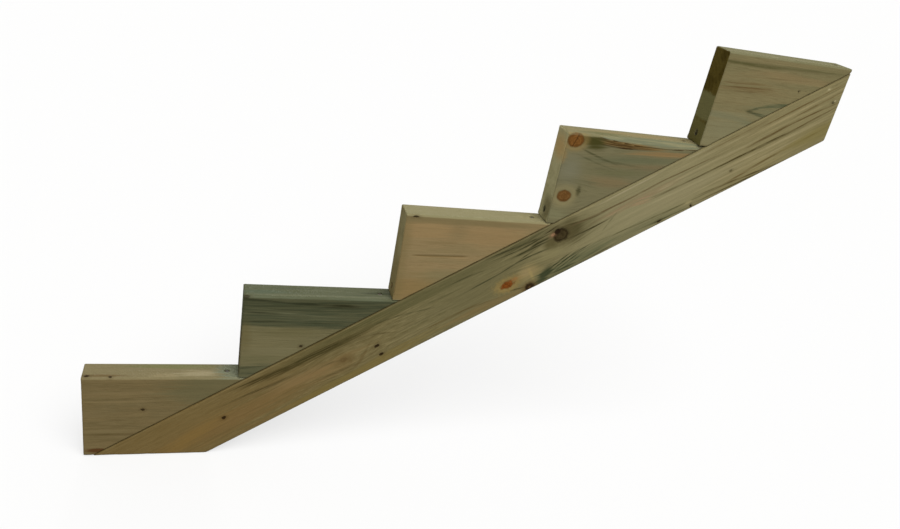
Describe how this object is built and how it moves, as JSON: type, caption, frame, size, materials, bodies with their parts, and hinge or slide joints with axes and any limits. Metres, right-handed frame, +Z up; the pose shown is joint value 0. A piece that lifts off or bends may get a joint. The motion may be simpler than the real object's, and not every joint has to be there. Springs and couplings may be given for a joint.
{
  "type": "stair stringer",
  "caption": "Timber stair stringer: a sloping carriage board on edge with wedge-shaped step blocks nailed along its top, cut level at the foot and plumb at the head to carry treads.",
  "frame": {"origin": "foot of the first riser on the floor, at the middle of the timber's thickness", "axes": "+X along the stair, from the first riser to the plumb cut at the top; +Y across the thickness, away from the face in the picture; +Z up"},
  "size_m": [1.0675, 0.038, 0.7],
  "materials": {
    "carriage_wood": "planed softwood, green-brown preservative stain, matt",
    "block_1_wood": "planed softwood, green-brown preservative stain, matt",
    "block_2_wood": "planed softwood, green-brown preservative stain, matt",
    "block_3_wood": "planed softwood, green-brown preservative stain, matt",
    "block_4_wood": "planed softwood, green-brown preservative stain, matt",
    "block_5_wood": "planed softwood, green-brown preservative stain, matt",
    "nail_steel": "weathered zinc, dull and darkened"
  },
  "bodies": {
    "root": {"carriage_board": "carriage_wood", "step_block_1": "block_1_wood", "step_block_2": "block_2_wood", "step_block_3": "block_3_wood", "step_block_4": "block_4_wood", "step_block_5": "block_5_wood", "tread_nails": "nail_steel", "riser_nails": "nail_steel", "foot_nail": "nail_steel"}
  },
  "joints": []
}
